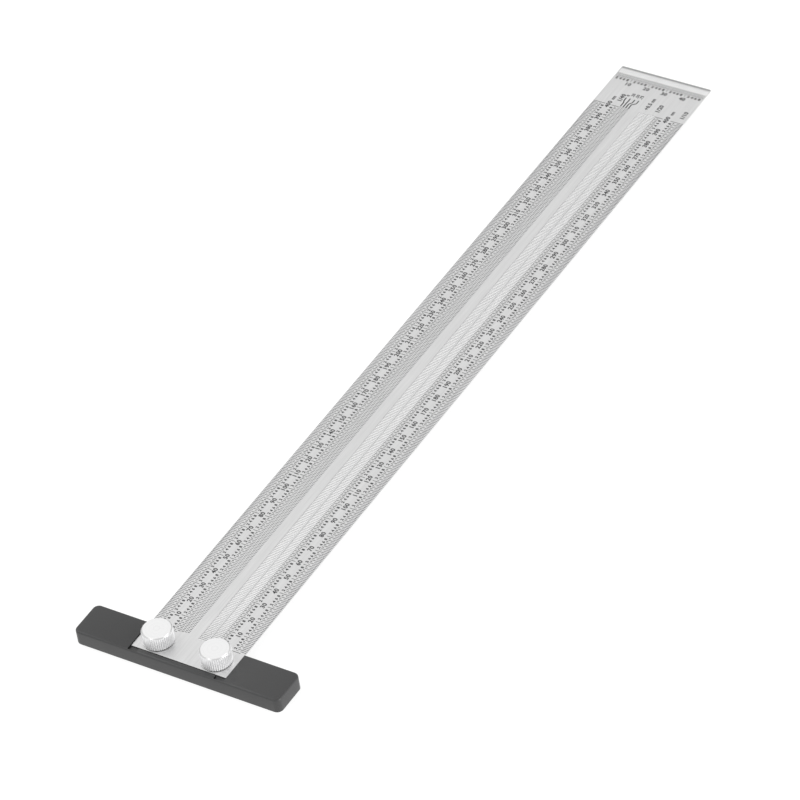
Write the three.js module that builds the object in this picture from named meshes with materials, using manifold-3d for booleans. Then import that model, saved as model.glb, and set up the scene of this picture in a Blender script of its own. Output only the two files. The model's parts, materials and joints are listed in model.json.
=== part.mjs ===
// Marking T square: a thin perforated steel blade let into the top of a black head bar and held by
// two knurled thumbscrews, each turning in a threaded brass insert.
//
// Millimetres. The origin is the centre of the head's guiding face, the one that runs along the
// edge of the work. +Y runs along the blade towards its tip, +X to the right with the tip pointing
// away, +Z up through the thumbscrews. The scales count from the guiding face, so a mark for n
// millimetres is at y = n.

import * as THREE from 'three';
import { mergeVertices } from 'three/addons/utils/BufferGeometryUtils.js';
import Module from 'manifold-3d';

const wasm = await Module();
wasm.setup();

// Head bar, lying across the blade
const HEAD_LENGTH = 108;
const HEAD_DEPTH = 19;
const HEAD_HEIGHT = 7.5;
const HEAD_CORNER_RADIUS = 3;
const HEAD_EDGE_RADIUS = 1;
const HEAD_FOOT_ROUNDING = 0.5;
const HEAD_TOP_Z = HEAD_HEIGHT / 2;
const HEAD_BOTTOM_Z = -HEAD_HEIGHT / 2;

// Seat for the blade, cut into the head's top, with a pocket at each of its two closed corners
const SEAT_DEPTH = 1;
const SEAT_SIDE_GAP = 0.15;
const SEAT_END_GAP = 0.8;
const SEAT_FLOOR_Z = HEAD_TOP_Z - SEAT_DEPTH;
const POCKET_WIDTH = 5;
const POCKET_LENGTH = 2.1;

// Blade
const BLADE_WIDTH = 50;
const BLADE_THICKNESS = 0.5;
const BLADE_TIP_Y = 429;
const BLADE_END_Y = -15.6;
const BLADE_TOP_Z = SEAT_FLOOR_Z + BLADE_THICKNESS;
const BLADE_HOLE_RADIUS = 2.25;

// Thumbscrews: the places of their axes, and the thread that their studs and inserts share
const SCREW_SIDES = [['left', -1], ['right', 1]];
const SCREW_X = 15.3;
const SCREW_Y = -7.85;
const THREAD_PITCH = 0.7;
const THREAD_DEPTH = 0.4;
const THREAD_FLANK = 0.2;
const THREAD_SEGMENTS = 20;

const WASHER_RADIUS = 5;
const WASHER_BORE_RADIUS = 2.2;
const WASHER_THICKNESS = 0.3;

const KNOB_RADIUS = 7.25;
const KNOB_HEIGHT = 7.1;
const KNOB_TOP_CHAMFER = 0.9;
const KNOB_BOTTOM_CHAMFER = 0.3;
const KNOB_BORE_RADIUS = 2.1;
const KNOB_BORE_DEPTH = 4.6;
const KNURL_TEETH = 45;
const KNURL_DEPTH = 0.4;
const KNOB_BOTTOM_Z = BLADE_TOP_Z + WASHER_THICKNESS;

const STUD_SHANK_RADIUS = 2;
const STUD_SHANK_LENGTH = 4.5;
const STUD_REACH = 5.4;
const STUD_TIP_CHAMFER = 0.5;
const STUD_THREAD_CREST = 1.95;
const STUD_THREAD_CREST_WIDTH = 0.09;
const STUD_TIP_Z = BLADE_TOP_Z - STUD_REACH;

const INSERT_RADIUS = 3;
const INSERT_LENGTH = 5;
const INSERT_GROOVE_DEPTH = 0.35;
const INSERT_GROOVE_WIDTH = 0.8;
const INSERT_EDGE_CHAMFER = 0.25;
const INSERT_THREAD_CREST = 2.06;
const INSERT_THREAD_CREST_WIDTH = 0.16;
const INSERT_BORE_GAP = 0.1;

const ROUND_SEGMENTS = 32;
const TURN = 2 * Math.PI;

// Surfaces
const blackPlastic = new THREE.MeshStandardMaterial({ color: 0x26272a, roughness: 0.5, metalness: 0 });
const brushedSteel = new THREE.MeshStandardMaterial({ color: 0xc4c6c8, roughness: 0.35, metalness: 1 });
const turnedAluminium = new THREE.MeshStandardMaterial({ color: 0xdcdde0, roughness: 0.28, metalness: 1 });
const zincSteel = new THREE.MeshStandardMaterial({ color: 0x9fa2a6, roughness: 0.4, metalness: 1 });
const brass = new THREE.MeshStandardMaterial({ color: 0xb8923c, roughness: 0.35, metalness: 1 });

// A closed three.js geometry as a solid that can be cut and joined
function toSolid(geometry) {
  const bare = geometry.clone();
  bare.deleteAttribute('normal');
  bare.deleteAttribute('uv');
  const merged = mergeVertices(bare, 1e-4);
  const mesh = new wasm.Mesh({
    numProp: 3,
    vertProperties: new Float32Array(merged.attributes.position.array),
    triVerts: new Uint32Array(merged.index.array),
  });
  return new wasm.Manifold(mesh);
}

// The cut solid back as a three.js geometry
function toGeometry(solid) {
  const mesh = solid.getMesh();
  const geometry = new THREE.BufferGeometry();
  geometry.setAttribute('position', new THREE.BufferAttribute(mesh.vertProperties, 3));
  geometry.setIndex(new THREE.BufferAttribute(mesh.triVerts, 1));
  geometry.computeVertexNormals();
  return geometry;
}

function boxSolid(low, high) {
  const size = high.map((value, axis) => value - low[axis]);
  const middle = high.map((value, axis) => (value + low[axis]) / 2);
  return toSolid(new THREE.BoxGeometry(...size).translate(...middle));
}

// A solid of revolution about +Z from [radius, height] points that start and end on the axis
function turnedSolid(profile, segments = ROUND_SEGMENTS) {
  const points = profile.map(([radius, height]) => new THREE.Vector2(radius, height));
  return toSolid(new THREE.LatheGeometry(points, segments).rotateX(Math.PI / 2));
}

// A plain round bar about +Z
function barSolid(radius, low, high, segments = ROUND_SEGMENTS) {
  return turnedSolid([[0, low], [radius, low], [radius, high], [0, high]], segments);
}

function rectangleShape(left, right, near, far, radius) {
  const shape = new THREE.Shape();
  shape.moveTo(left + radius, near);
  shape.lineTo(right - radius, near);
  shape.absarc(right - radius, near + radius, radius, -TURN / 4, 0);
  shape.lineTo(right, far - radius);
  shape.absarc(right - radius, far - radius, radius, 0, TURN / 4);
  shape.lineTo(left + radius, far);
  shape.absarc(left + radius, far - radius, radius, TURN / 4, TURN / 2);
  shape.lineTo(left, near + radius);
  shape.absarc(left + radius, near + radius, radius, TURN / 2, 3 * TURN / 4);
  return shape;
}

// A round bar with a right-hand thread about +Z. Its rows of points run along the helix, four to a
// pitch: the two edges of the crest and the two of the root. A crest's middle passes z = 0 at
// angle 0, so a stud and an insert made with the same pitch are in mesh.
function threadedBar(crestRadius, crestWidth, low, high) {
  const rows = [
    [-crestWidth / 2, crestRadius],
    [crestWidth / 2, crestRadius],
    [crestWidth / 2 + THREAD_FLANK, crestRadius - THREAD_DEPTH],
    [THREAD_PITCH - crestWidth / 2 - THREAD_FLANK, crestRadius - THREAD_DEPTH],
  ];
  const firstPitch = Math.floor(low / THREAD_PITCH) - 2;
  const pitchCount = Math.ceil((high - low) / THREAD_PITCH) + 4;
  const rowCount = rows.length * pitchCount;
  const positions = [];
  for (let row = 0; row <= rowCount; row += 1) {
    const [offset, radius] = rows[row % rows.length];
    const base = (firstPitch + Math.floor(row / rows.length)) * THREAD_PITCH + offset;
    for (let step = 0; step < THREAD_SEGMENTS; step += 1) {
      const part = step / THREAD_SEGMENTS;
      const angle = part * TURN;
      positions.push(radius * Math.cos(angle), radius * Math.sin(angle), base + part * THREAD_PITCH);
    }
  }
  // One turn round, a row meets the row one pitch above it
  const at = (step, row) => (step === THREAD_SEGMENTS
    ? (row + rows.length) * THREAD_SEGMENTS
    : row * THREAD_SEGMENTS + step);
  const lastRow = rowCount - rows.length;
  const triangles = [];
  for (let row = 0; row < lastRow; row += 1) {
    for (let step = 0; step < THREAD_SEGMENTS; step += 1) {
      triangles.push(at(step, row), at(step + 1, row), at(step + 1, row + 1));
      triangles.push(at(step, row), at(step + 1, row + 1), at(step, row + 1));
    }
  }
  // Each end is closed by a fan from a point on the axis
  for (const [row, turn] of [[0, 1], [lastRow, -1]]) {
    const rim = [];
    for (let step = 0; step <= THREAD_SEGMENTS; step += 1) {
      rim.push(at(step, row));
    }
    for (let down = rows.length - 1; down > 0; down -= 1) {
      rim.push(at(0, row + down));
    }
    const centre = positions.length / 3;
    positions.push(0, 0, positions[3 * rim[0] + 2] + THREAD_PITCH / 2);
    rim.forEach((point, index) => {
      const next = rim[(index + 1) % rim.length];
      triangles.push(...(turn > 0 ? [centre, next, point] : [centre, point, next]));
    });
  }
  const geometry = new THREE.BufferGeometry();
  geometry.setAttribute('position', new THREE.Float32BufferAttribute(positions, 3));
  geometry.setIndex(triangles);
  return toSolid(geometry);
}

function headBar() {
  const outline = rectangleShape(
    -HEAD_LENGTH / 2, HEAD_LENGTH / 2, -HEAD_DEPTH, 0, HEAD_CORNER_RADIUS,
  );
  // Both long ends of the extrusion are rounded. The lower one is trimmed off below its last
  // half millimetre, so the foot keeps only a slight rounding round a flat face.
  const low = HEAD_BOTTOM_Z - HEAD_FOOT_ROUNDING;
  const bar = new THREE.ExtrudeGeometry(outline, {
    depth: HEAD_TOP_Z - low - 2 * HEAD_EDGE_RADIUS,
    curveSegments: 6,
    bevelThickness: HEAD_EDGE_RADIUS,
    bevelSize: HEAD_EDGE_RADIUS,
    bevelOffset: -HEAD_EDGE_RADIUS,
    bevelSegments: 4,
  }).translate(0, 0, low + HEAD_EDGE_RADIUS);
  const seatX = BLADE_WIDTH / 2 + SEAT_SIDE_GAP;
  const seatY = BLADE_END_Y - SEAT_END_GAP;
  const over = 5;
  let solid = toSolid(bar)
    .subtract(boxSolid([-HEAD_LENGTH, -HEAD_LENGTH, low - over], [HEAD_LENGTH, HEAD_LENGTH, HEAD_BOTTOM_Z]))
    .subtract(boxSolid([-seatX, seatY, SEAT_FLOOR_Z], [seatX, over, HEAD_TOP_Z + over]));
  for (const [, side] of SCREW_SIDES) {
    const inner = side * (seatX - POCKET_WIDTH);
    const outer = side * seatX;
    const pocket = boxSolid(
      [Math.min(inner, outer), seatY - POCKET_LENGTH, SEAT_FLOOR_Z],
      [Math.max(inner, outer), seatY + SEAT_END_GAP, HEAD_TOP_Z + over],
    );
    const bore = barSolid(
      INSERT_RADIUS + INSERT_BORE_GAP,
      SEAT_FLOOR_Z - INSERT_LENGTH - INSERT_BORE_GAP,
      SEAT_FLOOR_Z + over,
    ).translate([side * SCREW_X, SCREW_Y, 0]);
    solid = solid.subtract(pocket).subtract(bore);
  }
  return toGeometry(solid);
}

function bladePlate() {
  const outline = rectangleShape(-BLADE_WIDTH / 2, BLADE_WIDTH / 2, BLADE_END_Y, BLADE_TIP_Y, 0.2);
  for (const [, side] of SCREW_SIDES) {
    const hole = new THREE.Path();
    hole.absarc(side * SCREW_X, SCREW_Y, BLADE_HOLE_RADIUS, 0, TURN);
    outline.holes.push(hole);
  }
  return new THREE.ExtrudeGeometry(outline, {
    depth: BLADE_THICKNESS,
    curveSegments: 12,
    bevelEnabled: false,
  }).translate(0, 0, SEAT_FLOOR_Z);
}

// The insert is pressed into the head from above, flush with the floor of the blade's seat
function threadedInsert() {
  const low = SEAT_FLOOR_Z - INSERT_LENGTH;
  const waist = INSERT_RADIUS - INSERT_GROOVE_DEPTH;
  const middle = (SEAT_FLOOR_Z + low) / 2;
  const body = turnedSolid([
    [0, low],
    [INSERT_RADIUS - INSERT_EDGE_CHAMFER, low],
    [INSERT_RADIUS, low + INSERT_EDGE_CHAMFER],
    [INSERT_RADIUS, middle - INSERT_GROOVE_WIDTH / 2],
    [waist, middle - INSERT_GROOVE_WIDTH / 2],
    [waist, middle + INSERT_GROOVE_WIDTH / 2],
    [INSERT_RADIUS, middle + INSERT_GROOVE_WIDTH / 2],
    [INSERT_RADIUS, SEAT_FLOOR_Z],
    [0, SEAT_FLOOR_Z],
  ]);
  const thread = threadedBar(
    INSERT_THREAD_CREST, INSERT_THREAD_CREST_WIDTH, low - THREAD_PITCH, SEAT_FLOOR_Z + THREAD_PITCH,
  );
  return toGeometry(body.subtract(thread));
}

// Washer under the knob, lifted with the screw but not turned by it
function flatWasher() {
  const low = BLADE_TOP_Z;
  const high = BLADE_TOP_Z + WASHER_THICKNESS;
  const points = [
    [WASHER_BORE_RADIUS, low],
    [WASHER_RADIUS, low],
    [WASHER_RADIUS, high],
    [WASHER_BORE_RADIUS, high],
    [WASHER_BORE_RADIUS, low],
  ].map(([radius, height]) => new THREE.Vector2(radius, height));
  return new THREE.LatheGeometry(points, ROUND_SEGMENTS).rotateX(Math.PI / 2);
}

// Straight-knurled knob: a toothed prism trimmed by a bar with a chamfer at each end
function thumbKnob() {
  const top = KNOB_BOTTOM_Z + KNOB_HEIGHT;
  const rootRadius = KNOB_RADIUS - KNURL_DEPTH;
  const outline = new THREE.Shape();
  const corners = [[-0.18, KNOB_RADIUS], [0.18, KNOB_RADIUS], [0.5, rootRadius]];
  for (let tooth = 0; tooth < KNURL_TEETH; tooth += 1) {
    corners.forEach(([shift, radius], index) => {
      const angle = ((tooth + shift) / KNURL_TEETH) * TURN;
      const move = tooth === 0 && index === 0 ? 'moveTo' : 'lineTo';
      outline[move](radius * Math.cos(angle), radius * Math.sin(angle));
    });
  }
  outline.closePath();
  const over = 1;
  const prism = new THREE.ExtrudeGeometry(outline, {
    depth: KNOB_HEIGHT + 2 * over,
    bevelEnabled: false,
  }).translate(0, 0, KNOB_BOTTOM_Z - over);
  const clear = KNOB_RADIUS + 0.2;
  const trim = turnedSolid([
    [0, KNOB_BOTTOM_Z],
    [KNOB_RADIUS - KNOB_BOTTOM_CHAMFER, KNOB_BOTTOM_Z],
    [clear, KNOB_BOTTOM_Z + KNOB_BOTTOM_CHAMFER + clear - KNOB_RADIUS],
    [clear, top - KNOB_TOP_CHAMFER - clear + KNOB_RADIUS],
    [KNOB_RADIUS - KNOB_TOP_CHAMFER, top],
    [0, top],
  ], 2 * KNURL_TEETH);
  const bore = barSolid(KNOB_BORE_RADIUS, KNOB_BOTTOM_Z - over, KNOB_BOTTOM_Z + KNOB_BORE_DEPTH);
  return toGeometry(toSolid(prism).intersect(trim).subtract(bore));
}

// Stud: a plain shank pressed into the knob and a threaded length below it, chamfered at the tip
function threadedStud() {
  const shankTop = KNOB_BOTTOM_Z + STUD_SHANK_LENGTH;
  const threadTop = BLADE_TOP_Z;
  const trimRadius = STUD_THREAD_CREST + 0.2;
  const trim = turnedSolid([
    [0, STUD_TIP_Z],
    [STUD_THREAD_CREST - STUD_TIP_CHAMFER, STUD_TIP_Z],
    [trimRadius, STUD_TIP_Z + STUD_TIP_CHAMFER + trimRadius - STUD_THREAD_CREST],
    [trimRadius, threadTop],
    [0, threadTop],
  ]);
  const thread = threadedBar(STUD_THREAD_CREST, STUD_THREAD_CREST_WIDTH, STUD_TIP_Z, threadTop);
  const shank = barSolid(STUD_SHANK_RADIUS, threadTop - BLADE_THICKNESS / 2, shankTop);
  return toGeometry(thread.intersect(trim).add(shank));
}

function place(group, name, geometry, material, position = [0, 0, 0]) {
  const mesh = new THREE.Mesh(geometry, material);
  mesh.name = name;
  mesh.position.set(...position);
  group.add(mesh);
}

const square = new THREE.Group();
place(square, 'head_bar', headBar(), blackPlastic);
place(square, 'blade', bladePlate(), brushedSteel);
for (const [name, side] of SCREW_SIDES) {
  const axis = [side * SCREW_X, SCREW_Y, 0];
  place(square, `${name}_threaded_insert`, threadedInsert(), brass, axis);
  place(square, `${name}_washer`, flatWasher(), zincSteel, axis);
  place(square, `${name}_thumb_knob`, thumbKnob(), turnedAluminium, axis);
  place(square, `${name}_threaded_stud`, threadedStud(), zincSteel, axis);
}

export default square;
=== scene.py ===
"""Looks of a marking T square: perforated steel blade, black head bar, two knurled thumbscrews.

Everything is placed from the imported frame. Sizes are in millimetres where a name says MM or where
a function works on the blade's face, and in metres once they are mesh coordinates.
"""
import json
import math
from collections import namedtuple

import bmesh
import bpy
from mathutils import Matrix, Vector
from mathutils.geometry import delaunay_2d_cdt


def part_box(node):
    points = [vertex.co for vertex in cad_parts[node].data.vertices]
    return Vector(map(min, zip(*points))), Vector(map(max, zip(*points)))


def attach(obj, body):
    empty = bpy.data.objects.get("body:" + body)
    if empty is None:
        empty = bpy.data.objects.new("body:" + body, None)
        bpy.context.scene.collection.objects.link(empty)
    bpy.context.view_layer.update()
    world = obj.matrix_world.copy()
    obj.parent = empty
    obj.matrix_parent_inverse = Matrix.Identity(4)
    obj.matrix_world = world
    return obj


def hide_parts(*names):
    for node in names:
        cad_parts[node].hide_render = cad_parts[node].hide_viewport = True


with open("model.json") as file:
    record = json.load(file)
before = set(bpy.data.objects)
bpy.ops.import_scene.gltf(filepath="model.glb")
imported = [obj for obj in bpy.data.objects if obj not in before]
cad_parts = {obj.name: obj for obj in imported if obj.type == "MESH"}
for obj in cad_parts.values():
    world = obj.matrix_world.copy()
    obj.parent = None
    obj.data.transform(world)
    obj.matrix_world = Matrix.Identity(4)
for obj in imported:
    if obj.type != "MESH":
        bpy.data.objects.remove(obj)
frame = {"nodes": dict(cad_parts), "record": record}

MM = 0.001
TURN = 2 * math.pi
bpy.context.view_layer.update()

# Camera: the viewing angle, and the point of the square that the middle of the picture shows
CAMERA_AZIMUTH = 36.944
CAMERA_ELEVATION = 41.148
CAMERA_ROLL = -8.919
CAMERA_LENS = 233.3
CAMERA_DISTANCE = 2.3894
CAMERA_TARGET = Vector((-1.075, 174.97, 0)) * MM

# Frame positions
blade_low, blade_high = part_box("blade")
head_low, head_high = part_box("head_bar")
BLADE_TOP = blade_high.z
BLADE_BOTTOM = blade_low.z
BLADE_LEFT = blade_low.x
SIDES = ("left", "right")
SCREW_AXIS = {
    joint["name"].split("_")[0]: Vector(joint["pos_m"])
    for joint in frame["record"]["behaviour"]["joints"]
    if joint["type"] == "hinge"
}

# Blade, in millimetres across from its left edge and along from the scale's zero
BLADE_WIDTH_MM = 50.0
BLADE_TIP_MM = 429.0
SCALE_LENGTH = 400
SCREW_HOLE_RADIUS = 2.25
SCREW_HOLE_SIDES = 48
SAME_POINT = 1e-6

# Slots through the blade
SLOT_WIDTH = 0.5
FINE_SLOT_WIDTH = 0.42
LONG_SLOT_WIDTH = 0.62
TIP_SLOT_WIDTH = 0.55
OUTER_SLOTS = ((1.5, 2.35), (47.6, 48.55))
QUARTER_COLUMNS = (14.75, 16.25, 17.75, 19.2)
QUARTER_SLOT_LENGTH = 1.15
QUARTER_STEP = 0.25
# Each band of long slots: its left and right end, and how far its slots lie before the millimetre
HALF_SLOTS = ((25.3, 29.6, 0.5), (30.25, 34.25, 0.0))
TIP_SLOTS = (424.0, 427.8)
# A wall of a long slot that is shorter than this is one of its two ends
END_WALL = 1.0

# Scales along the blade
EDGE_TICK = 1.35
EDGE_TICK_WIDTH = 0.2
EDGE_MARGIN = 0.02
TICK_WIDTH = 0.26
# Each tick row: where its ticks start, where they end by kind, and where its digits stand
TickRow = namedtuple("TickRow", "start odd_end even_end ten_end odd_digit even_digit")
TICK_ROWS = (
    TickRow(2.45, 3.0, 4.75, 6.7, 4.45, 5.98),
    TickRow(14.05, 13.85, 12.2, 10.1, 12.55, 10.9),
    TickRow(34.4, 35.0, 36.75, 38.75, 36.42, 38.0),
    TickRow(47.5, 46.95, 45.05, 43.0, 45.3, 43.7),
)
NUMBER_ROWS = (8.35, 40.75)
NUMBER_HEIGHT = 2.15
DIGIT_HEIGHT = 1.35
ODD_DIGIT_HEIGHT = 1.0

# Scale across the tip, counted from the blade's left edge
TIP_NUMBER_Y = 417.3
TIP_DIGIT_Y = 420.1
TIP_ODD_DIGIT_Y = 421.7
TIP_DIGIT_HEIGHT = 1.6
TIP_TICK_START = 423.8
TIP_TEN_TICK_END = TIP_DIGIT_Y - 0.7
TIP_EVEN_TICK_END = TIP_ODD_DIGIT_Y - 0.35
TIP_ODD_TICK_END = TIP_TICK_START - 1.0
TIP_EDGE_TICK_START = TIP_SLOTS[1] + 0.1
TIP_EDGE_TICK_WIDTH = 0.45

# Lettering. A weight is how far the outline is swollen, as a share of the text size
TEXT_WEIGHT = 0.03
DIGIT_WEIGHT = 0.05
NOTE_WEIGHT = 0.034
LETTER_SPACING = 1.08
CAPITAL_HEIGHT = 0.69
DOUBLED_POINT = 1e-5
MARK_HEIGHT = 0.02 * MM
MARK_DEPTH = 0.01 * MM

# Notes past the end of the long scales: text, place across, place along and height
RATIO_NOTES = (("1/40", 12.0, 407.0, 2.15), ("1/20", 33.5, 406.4, 2.15), ("1/10", 47.2, 406.4, 2.15))
HALF_NOTE = ("+0.5", 27.5, 405.7, 1.95)
UNIT_PLACES = ((8.35, 405.3), (41.1, 405.5), (27.5, 410.7))
UNIT_HEIGHT = 1.9
UNIT_NARROWING = 0.66
# The quarter columns' notes, at the ends of leaders that start at their columns and bend twice
QUARTER_NOTES = (("0", 14.2, 409.5), (".25", 16.4, 410.6), (".50", 18.9, 410.6), (".75", 21.1, 410.6))
QUARTER_NOTE_HEIGHT = 1.5
LEADER_WIDTH = 0.57
LEADER_BENDS = (400.7, 403.8, 405.4, 407.8)

# Head bar
HEAD_CORNER = 3.0 * MM
HEAD_CORNER_STEPS = 10
HEAD_EDGE = 1.0 * MM
HEAD_EDGE_STEPS = 8
HEAD_FOOT = 0.1 * MM
HEAD_FOOT_STEPS = 4
SEAT_SIDE_GAP = 0.15 * MM
SEAT_END_GAP = 0.8 * MM
SEAT_CORNER = 0.15 * MM
POCKET = (5.0 * MM, 2.1 * MM)
POCKET_CORNER = 0.3 * MM
INSERT_BORE_RADIUS = 3.1 * MM
INSERT_BORE_DEPTH = 5.1 * MM
INSERT_BORE_SIDES = 64
CUT_EDGE = 0.1 * MM
CUT_EDGE_STEPS = 2
# How far a cutting tool stands out past what it cuts
OVERSHOOT = 4 * MM

# Knobs
KNURL_TEETH = 45
KNURL_SAMPLES = 8
KNURL_DEPTH = 0.42 * MM
# How far below the knurl's crests its painted shade starts
KNURL_UNSHADED_CREST = 0.12 * MM
# A groove of the knurl: how steeply it falls from its teeth, and how far their crests are flat
KNURL_SLOPE = 1.35
KNURL_CREST = 0.2
# The knurl's finish starts this far above the foot, and reaches this far inwards and upwards
KNURL_FOOT = 0.1 * MM
KNURL_RUN_OUT = 0.2 * MM
KNOB_CHAMFER = 0.9 * MM
KNOB_CHAMFER_STEPS = 12
KNOB_FOOT_CHAMFER = 0.08 * MM
KNOB_FOOT_STEPS = 4
KNOB_FOOT_RISE = 0.02 * MM
KNOB_LIP = 0.12 * MM
KNOB_LIP_STEPS = 4
KNOB_BORE = (2.1 * MM, 4.6 * MM)
KNOB_BORE_CHAMFER = 0.2 * MM

# Studs and washers
THREAD_PITCH = 0.7 * MM
THREAD_ROWS = 12
# A thread's flank: where it starts from the middle of the root and how wide it is, in half pitches
FLANK_START = 0.28
FLANK_WIDTH = 0.58
STUD_SAMPLES = 64
STUD_CREST = 1.95 * MM
STUD_ROOT = 1.55 * MM
STUD_TIP_CHAMFER = 0.5 * MM
STUD_SHOULDER = 0.25 * MM
STUD_TOP_CHAMFER = 0.2 * MM
WASHER_SAMPLES = 96
WASHER_BORE_RADIUS = 2.2 * MM
WASHER_EDGE = 0.12 * MM

# Floor, lights and camera
FLOOR_HALF_WIDTH = 6.0
FLOOR_GLOW = 0.76
HEAD_MIDDLE = (0, 0, 0)
BLADE_MIDDLE = (0, 0.2, 0)
# Each light: name, position, what it points at, its two sides in metres, and watts
LIGHTS = (
    ("key_softbox", (-1.6, 0.0, 1.7), BLADE_MIDDLE, (1.4, 1.4), 10),
    ("fill_softbox", (1.8, 0.4, 1.45), HEAD_MIDDLE, (0.7, 0.7), 4.5),
    ("low_side_strip", (2.2, 0.3, 0.2), HEAD_MIDDLE, (0.7, 0.3), 21),
    ("front_strip", (-0.55, -1.65, 1.5), HEAD_MIDDLE, (0.4, 0.4), 3.5),
)
ROOM_BRIGHTNESS = 0.92
SENSOR_WIDTH = 36
CAMERA_CLIP = (0.1, 30)


# ---------------------------------------------------------------- node materials

def new_material(name):
    """A material with its node tree and its shader node."""
    material = bpy.data.materials.new(name)
    material.use_nodes = True
    tree = material.node_tree
    shader = tree.nodes["Principled BSDF"]
    return material, tree, shader


def add_node(tree, kind, **settings):
    node = tree.nodes.new(kind)
    for key, value in settings.items():
        setattr(node, key, value)
    return node


def noise(tree, vector, scale, detail, stretch=(1, 1, 1)):
    """Noise on object coordinates, its grain stretched by dividing each axis by stretch."""
    mapping = add_node(tree, "ShaderNodeMapping")
    mapping.inputs["Scale"].default_value = [1 / value for value in stretch]
    tree.links.new(vector, mapping.inputs["Vector"])
    texture = add_node(tree, "ShaderNodeTexNoise")
    texture.inputs["Scale"].default_value = scale
    texture.inputs["Detail"].default_value = detail
    tree.links.new(mapping.outputs["Vector"], texture.inputs["Vector"])
    return texture.outputs["Fac"]


def span(tree, value, low, high, to_low, to_high):
    """value taken from low..high to to_low..to_high, held at the ends."""
    node = add_node(tree, "ShaderNodeMapRange")
    node.inputs["From Min"].default_value = low
    node.inputs["From Max"].default_value = high
    node.inputs["To Min"].default_value = to_low
    node.inputs["To Max"].default_value = to_high
    tree.links.new(value, node.inputs["Value"])
    return node.outputs["Result"]


def mix_colour(tree, factor, first, second):
    """A blend by factor of two colours, each given as a tuple or as a socket."""
    node = add_node(tree, "ShaderNodeMix", data_type="RGBA")
    tree.links.new(factor, node.inputs[0])
    for socket, value in ((node.inputs[6], first), (node.inputs[7], second)):
        if isinstance(value, tuple):
            socket.default_value = (*value, 1)
        else:
            tree.links.new(value, socket)
    return node.outputs[2]


def graded(tree, value, low, high, first, second, share=1):
    """A colour that goes from first towards second, by share, as value goes from low to high."""
    return mix_colour(tree, span(tree, value, low, high, 0, share), first, second)


def maths(tree, operation, first, second):
    """The operation's result for two values, each given as a number or as a socket."""
    node = add_node(tree, "ShaderNodeMath", operation=operation)
    for socket, value in zip(node.inputs, (first, second)):
        if isinstance(value, (int, float)):
            socket.default_value = value
        else:
            tree.links.new(value, socket)
    return node.outputs["Value"]


def bump(tree, shader, height, distance, strength, below=None):
    """Fine relief on the shader's normal, laid over the relief below it."""
    node = add_node(tree, "ShaderNodeBump")
    node.inputs["Strength"].default_value = strength
    node.inputs["Distance"].default_value = distance
    tree.links.new(height, node.inputs["Height"])
    if below is not None:
        tree.links.new(below, node.inputs["Normal"])
    tree.links.new(node.outputs["Normal"], shader.inputs["Normal"])
    return node.outputs["Normal"]


def object_coordinates(tree):
    return add_node(tree, "ShaderNodeTexCoord").outputs["Object"]


def axis_distance(tree, where):
    """Distance from the object's own Z axis."""
    split = add_node(tree, "ShaderNodeSeparateXYZ")
    tree.links.new(where, split.inputs[0])
    flat = add_node(tree, "ShaderNodeCombineXYZ")
    tree.links.new(split.outputs["X"], flat.inputs["X"])
    tree.links.new(split.outputs["Y"], flat.inputs["Y"])
    length = add_node(tree, "ShaderNodeVectorMath", operation="LENGTH")
    tree.links.new(flat.outputs["Vector"], length.inputs[0])
    return length.outputs["Value"]


def edge_mask(tree, radius):
    """1 on edges rounded over radius, 0 on flat stretches."""
    rounded = add_node(tree, "ShaderNodeBevel", samples=4)
    rounded.inputs["Radius"].default_value = radius
    plain = add_node(tree, "ShaderNodeNewGeometry")
    dot = add_node(tree, "ShaderNodeVectorMath", operation="DOT_PRODUCT")
    tree.links.new(rounded.outputs["Normal"], dot.inputs[0])
    tree.links.new(plain.outputs["Normal"], dot.inputs[1])
    return span(tree, dot.outputs["Value"], 0.98, 0.80, 0.0, 1.0)


def head_plastic():
    """Black moulded plastic with a fine spark-eroded texture, polished a little along its edges."""
    material, tree, shader = new_material("head_black_plastic")
    where = object_coordinates(tree)
    speckle = noise(tree, where, 3200, detail=3)
    clouds = noise(tree, where, 60, detail=3)
    tone = graded(tree, speckle, 0.35, 0.65, (0.030, 0.030, 0.0305), (0.042, 0.042, 0.0425))
    worn = maths(tree, "MULTIPLY", edge_mask(tree, 0.35 * MM), span(tree, clouds, 0.35, 0.7, 0.2, 0.7))
    tone = mix_colour(tree, worn, tone, (0.070, 0.070, 0.071))
    tree.links.new(tone, shader.inputs["Base Color"])
    matt = span(tree, clouds, 0.3, 0.7, 0.33, 0.42)
    matt = maths(tree, "ADD", matt, span(tree, speckle, 0.3, 0.7, -0.03, 0.05))
    polish = maths(tree, "MULTIPLY", worn, 0.12)
    tree.links.new(maths(tree, "SUBTRACT", matt, polish), shader.inputs["Roughness"])
    bump(tree, shader, speckle, 0.02 * MM, 0.5)
    return material


def recess_plastic():
    """Walls of the milled seat: duller than the moulded skin, and darker as painted shade."""
    material, tree, shader = new_material("head_recess_painted_shade")
    cutter = noise(tree, object_coordinates(tree), 2600, detail=2, stretch=(1, 1, 6))
    # Painted shade: the recess walls are coloured far darker than the moulded skin.
    tone = graded(tree, cutter, 0.3, 0.7, (0.006, 0.006, 0.0062), (0.012, 0.012, 0.0122))
    tree.links.new(tone, shader.inputs["Base Color"])
    shader.inputs["Specular IOR Level"].default_value = 0.2
    tree.links.new(span(tree, cutter, 0.3, 0.7, 0.7, 0.85), shader.inputs["Roughness"])
    bump(tree, shader, cutter, 0.01 * MM, 0.4)
    return material


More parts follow.
